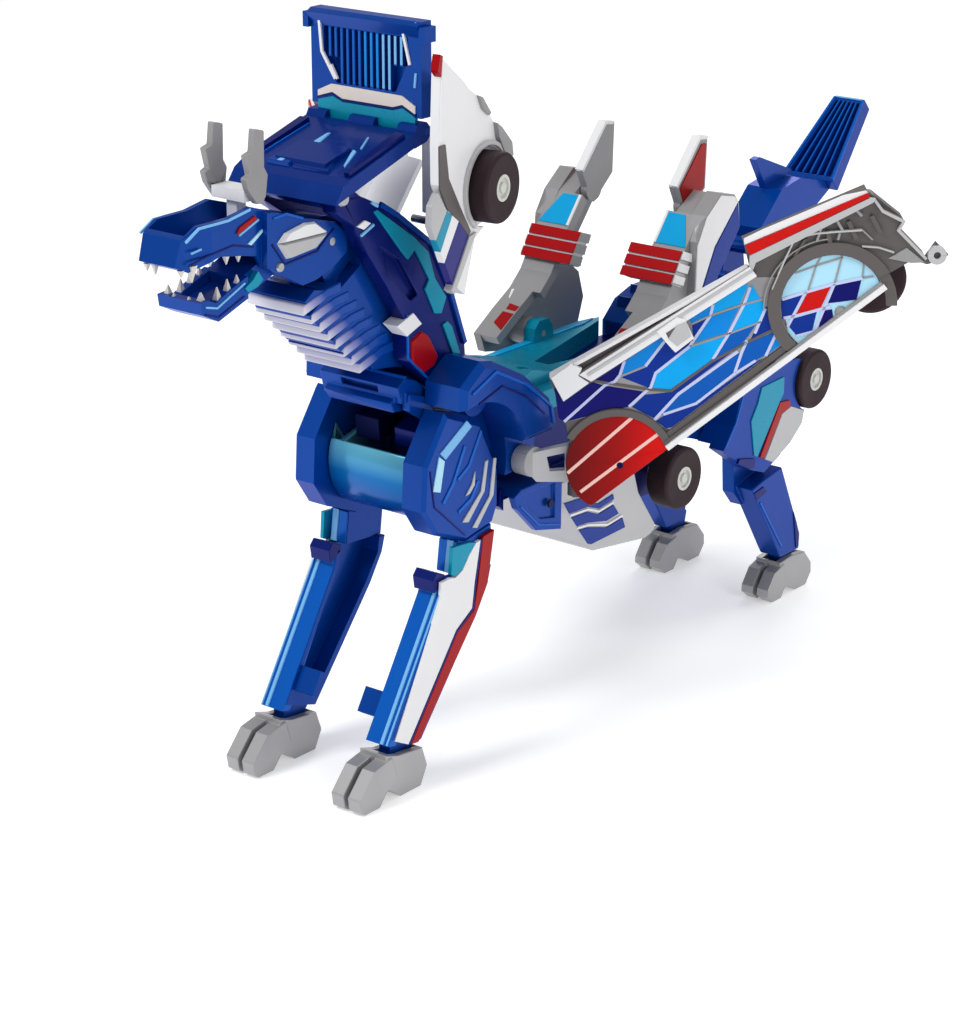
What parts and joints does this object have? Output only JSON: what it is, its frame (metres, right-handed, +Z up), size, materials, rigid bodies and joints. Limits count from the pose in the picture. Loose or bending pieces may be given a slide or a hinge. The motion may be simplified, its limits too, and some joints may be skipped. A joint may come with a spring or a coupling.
{
  "type": "transforming robot car",
  "caption": "Two-in-one transforming toy posed as a standing winged dragon, with hinged neck, jaw, crest, legs, fins, wings and free-rolling car wheels.",
  "frame": {"origin": "on the ground, at the middle of the bounding box in X and Y", "axes": "+X to the toy's left, +Y from nose to tail, +Z up; at rest the toy stands on its four feet with wings spread"},
  "size_m": [0.2184, 0.3078, 0.1965],
  "materials": {
    "blue_plastic": "gloss moulded plastic",
    "navy_plastic": "gloss moulded plastic",
    "teal_plastic": "gloss metallic-look plastic",
    "white_plastic": "gloss painted plastic",
    "grey_plastic": "satin grey plastic",
    "tyre_rubber": "matte",
    "hub_plastic": "light grey plastic",
    "steel_pin": "plated steel"
  },
  "bodies": {
    "torso": {"spine_chassis": "navy_plastic", "chest_frame": "blue_plastic", "chest_drum": "teal_plastic", "chest_axles": "steel_pin", "chest_cover": "blue_plastic", "chest_skirt": "blue_plastic", "back_plate": "teal_plastic", "hip_block": "blue_plastic", "belly_shell": "white_plastic", "torso_screws": "steel_pin"},
    "flank_wheels": {"flank_tyres": "tyre_rubber", "flank_axle": "hub_plastic"},
    "hip_wheels": {"hip_tyres": "tyre_rubber", "hip_axle": "hub_plastic"},
    "neck": {"neck_core": "blue_plastic", "neck_frame_left": "blue_plastic", "neck_frame_right": "blue_plastic", "neck_pins": "steel_pin"},
    "head": {"skull": "blue_plastic", "horn_bracket": "white_plastic"},
    "jaw": {"jaw": "blue_plastic"},
    "horns": {"horns": "white_plastic"},
    "crest_base": {"crest_lower": "navy_plastic"},
    "crest_lid": {"crest_upper": "blue_plastic"},
    "tail": {"tail_root": "blue_plastic", "tail_blade": "blue_plastic"},
    "collar_left": {"collar_shell_left": "white_plastic"},
    "collar_wheel_left": {"collar_tyre_left": "tyre_rubber", "collar_hub_left": "hub_plastic"},
    "front_leg_left": {"shoulder_disc_left": "blue_plastic", "front_leg_upper_left": "blue_plastic", "front_leg_lower_left": "blue_plastic"},
    "front_foot_left": {"front_foot_left": "grey_plastic"},
    "hind_thigh_left": {"hind_thigh_left": "blue_plastic"},
    "hind_shin_left": {"hind_shin_left": "blue_plastic"},
    "hind_foot_left": {"hind_foot_left": "grey_plastic"},
    "fin_left": {"fin_left": "grey_plastic"},
    "fin_blade_left": {"fin_blade_left": "grey_plastic"},
    "wing_arm_left": {"wing_arm_left": "grey_plastic"},
    "wing_left": {"wing_panel_left": "white_plastic", "wing_fender_left": "grey_plastic"},
    "wing_wheel_left": {"wing_tyre_left": "tyre_rubber", "wing_hub_left": "hub_plastic"},
    "collar_right": {"collar_shell_right": "white_plastic"},
    "collar_wheel_right": {"collar_tyre_right": "tyre_rubber", "collar_hub_right": "hub_plastic"},
    "front_leg_right": {"shoulder_disc_right": "blue_plastic", "front_leg_upper_right": "blue_plastic", "front_leg_lower_right": "blue_plastic"},
    "front_foot_right": {"front_foot_right": "grey_plastic"},
    "hind_thigh_right": {"hind_thigh_right": "blue_plastic"},
    "hind_shin_right": {"hind_shin_right": "blue_plastic"},
    "hind_foot_right": {"hind_foot_right": "grey_plastic"},
    "fin_right": {"fin_right": "grey_plastic"},
    "fin_blade_right": {"fin_blade_right": "grey_plastic"},
    "wing_arm_right": {"wing_arm_right": "grey_plastic"},
    "wing_right": {"wing_panel_right": "white_plastic", "wing_fender_right": "grey_plastic"},
    "wing_wheel_right": {"wing_tyre_right": "tyre_rubber", "wing_hub_right": "hub_plastic"}
  },
  "joints": [
    {"name": "neck_tilt", "type": "hinge", "parent": "torso", "child": "neck", "pos_m": [0, -0.06185, 0.099], "axis": [1, 0, 0], "range_deg": [-30, 0]},
    {"name": "head_nod", "type": "hinge", "parent": "neck", "child": "head", "pos_m": [0, -0.10285, 0.146], "axis": [1, 0, 0], "range_deg": [-10, 8]},
    {"name": "jaw_open", "type": "hinge", "parent": "head", "child": "jaw", "pos_m": [0, -0.12185, 0.1436], "axis": [1, 0, 0], "range_deg": [-12, 15]},
    {"name": "horn_fold", "type": "hinge", "parent": "head", "child": "horns", "pos_m": [0, -0.12635, 0.161], "axis": [1, 0, 0], "range_deg": [0, 45]},
    {"name": "crest_lift", "type": "hinge", "parent": "neck", "child": "crest_base", "pos_m": [0, -0.10485, 0.1576], "axis": [1, 0, 0], "range_deg": [0, 30]},
    {"name": "crest_fold", "type": "hinge", "parent": "crest_base", "child": "crest_lid", "pos_m": [0, -0.07725, 0.1696], "axis": [1, 0, 0], "range_deg": [0, 25]},
    {"name": "flank_wheel_spin", "type": "hinge", "parent": "torso", "child": "flank_wheels", "pos_m": [0, 0.02615, 0.054], "axis": [1, 0, 0], "continuous": true},
    {"name": "hip_wheel_spin", "type": "hinge", "parent": "torso", "child": "hip_wheels", "pos_m": [0, 0.09515, 0.0665], "axis": [1, 0, 0], "continuous": true},
    {"name": "tail_tilt", "type": "hinge", "parent": "torso", "child": "tail", "pos_m": [0, 0.09815, 0.1035], "axis": [1, 0, 0], "range_deg": [-25, 15]},
    {"name": "collar_tilt_left", "type": "hinge", "parent": "neck", "child": "collar_left", "pos_m": [0.016, -0.07285, 0.146], "axis": [1, 0, 0], "range_deg": [-40, 0]},
    {"name": "collar_wheel_spin_left", "type": "hinge", "parent": "collar_left", "child": "collar_wheel_left", "pos_m": [0.0235, -0.0595, 0.1536], "axis": [0.9877, 0.1564, 0], "continuous": true},
    {"name": "shoulder_swing_left", "type": "hinge", "parent": "torso", "child": "front_leg_left", "pos_m": [0.018, -0.06885, 0.079], "axis": [1, 0, 0], "range_deg": [-12, 15]},
    {"name": "front_ankle_left", "type": "hinge", "parent": "front_leg_left", "child": "front_foot_left", "pos_m": [0.0182, -0.09385, 0.0095], "axis": [1, 0, 0], "range_deg": [-10, 10]},
    {"name": "hip_swing_left", "type": "hinge", "parent": "torso", "child": "hind_thigh_left", "pos_m": [0.018, 0.09515, 0.0665], "axis": [1, 0, 0], "range_deg": [-35, 20]},
    {"name": "knee_bend_left", "type": "hinge", "parent": "hind_thigh_left", "child": "hind_shin_left", "pos_m": [0.017, 0.07015, 0.052], "axis": [1, 0, 0], "range_deg": [-20, 25]},
    {"name": "hind_ankle_left", "type": "hinge", "parent": "hind_shin_left", "child": "hind_foot_left", "pos_m": [0.0197, 0.08815, 0.0086], "axis": [1, 0, 0], "range_deg": [-10, 10]},
    {"name": "fin_tilt_left", "type": "hinge", "parent": "torso", "child": "fin_left", "pos_m": [0.017, 0.01115, 0.093], "axis": [1, 0, 0], "range_deg": [-20, 15]},
    {"name": "blade_fold_left", "type": "hinge", "parent": "fin_left", "child": "fin_blade_left", "pos_m": [0.016, 0.03715, 0.1295], "axis": [1, 0, 0], "range_deg": [-60, 0]},
    {"name": "wing_lift_left", "type": "hinge", "parent": "torso", "child": "wing_arm_left", "pos_m": [0.022, -0.04235, 0.077], "axis": [1, 0, 0], "range_deg": [-25, 20]},
    {"name": "wing_splay_left", "type": "hinge", "parent": "wing_arm_left", "child": "wing_left", "pos_m": [0.03249, -0.03493, 0.077], "axis": [0, 0, 1], "range_deg": [-20, 35]},
    {"name": "wing_wheel_spin_left", "type": "hinge", "parent": "wing_left", "child": "wing_wheel_left", "pos_m": [0.08984, 0.01381, 0.1261], "axis": [0.6157, -0.788, 0], "continuous": true},
    {"name": "collar_tilt_right", "type": "hinge", "parent": "neck", "child": "collar_right", "pos_m": [-0.016, -0.07285, 0.146], "axis": [1, 0, 0], "range_deg": [0, 40]},
    {"name": "collar_wheel_spin_right", "type": "hinge", "parent": "collar_right", "child": "collar_wheel_right", "pos_m": [-0.0235, -0.05774, 0.14324], "axis": [-0.9877, 0.1198, -0.1006], "continuous": true},
    {"name": "shoulder_swing_right", "type": "hinge", "parent": "torso", "child": "front_leg_right", "pos_m": [-0.018, -0.06885, 0.079], "axis": [1, 0, 0], "range_deg": [-12, 15]},
    {"name": "front_ankle_right", "type": "hinge", "parent": "front_leg_right", "child": "front_foot_right", "pos_m": [-0.0182, -0.09385, 0.0095], "axis": [1, 0, 0], "range_deg": [-10, 10]},
    {"name": "hip_swing_right", "type": "hinge", "parent": "torso", "child": "hind_thigh_right", "pos_m": [-0.018, 0.09515, 0.0665], "axis": [1, 0, 0], "range_deg": [-35, 20]},
    {"name": "knee_bend_right", "type": "hinge", "parent": "hind_thigh_right", "child": "hind_shin_right", "pos_m": [-0.017, 0.07015, 0.052], "axis": [1, 0, 0], "range_deg": [-20, 25]},
    {"name": "hind_ankle_right", "type": "hinge", "parent": "hind_shin_right", "child": "hind_foot_right", "pos_m": [-0.0197, 0.08815, 0.0086], "axis": [1, 0, 0], "range_deg": [-10, 10]},
    {"name": "fin_tilt_right", "type": "hinge", "parent": "torso", "child": "fin_right", "pos_m": [-0.017, 0.01115, 0.093], "axis": [1, 0, 0], "range_deg": [-20, 15]},
    {"name": "blade_fold_right", "type": "hinge", "parent": "fin_right", "child": "fin_blade_right", "pos_m": [-0.016, 0.03715, 0.1295], "axis": [1, 0, 0], "range_deg": [-60, 0]},
    {"name": "wing_lift_right", "type": "hinge", "parent": "torso", "child": "wing_arm_right", "pos_m": [-0.022, -0.04235, 0.077], "axis": [1, 0, 0], "range_deg": [-25, 20]},
    {"name": "wing_splay_right", "type": "hinge", "parent": "wing_arm_right", "child": "wing_right", "pos_m": [-0.03249, -0.03493, 0.077], "axis": [0, 0, -1], "range_deg": [-20, 35]},
    {"name": "wing_wheel_spin_right", "type": "hinge", "parent": "wing_right", "child": "wing_wheel_right", "pos_m": [-0.08984, 0.01381, 0.1261], "axis": [-0.6157, -0.788, 0], "continuous": true}
  ]
}
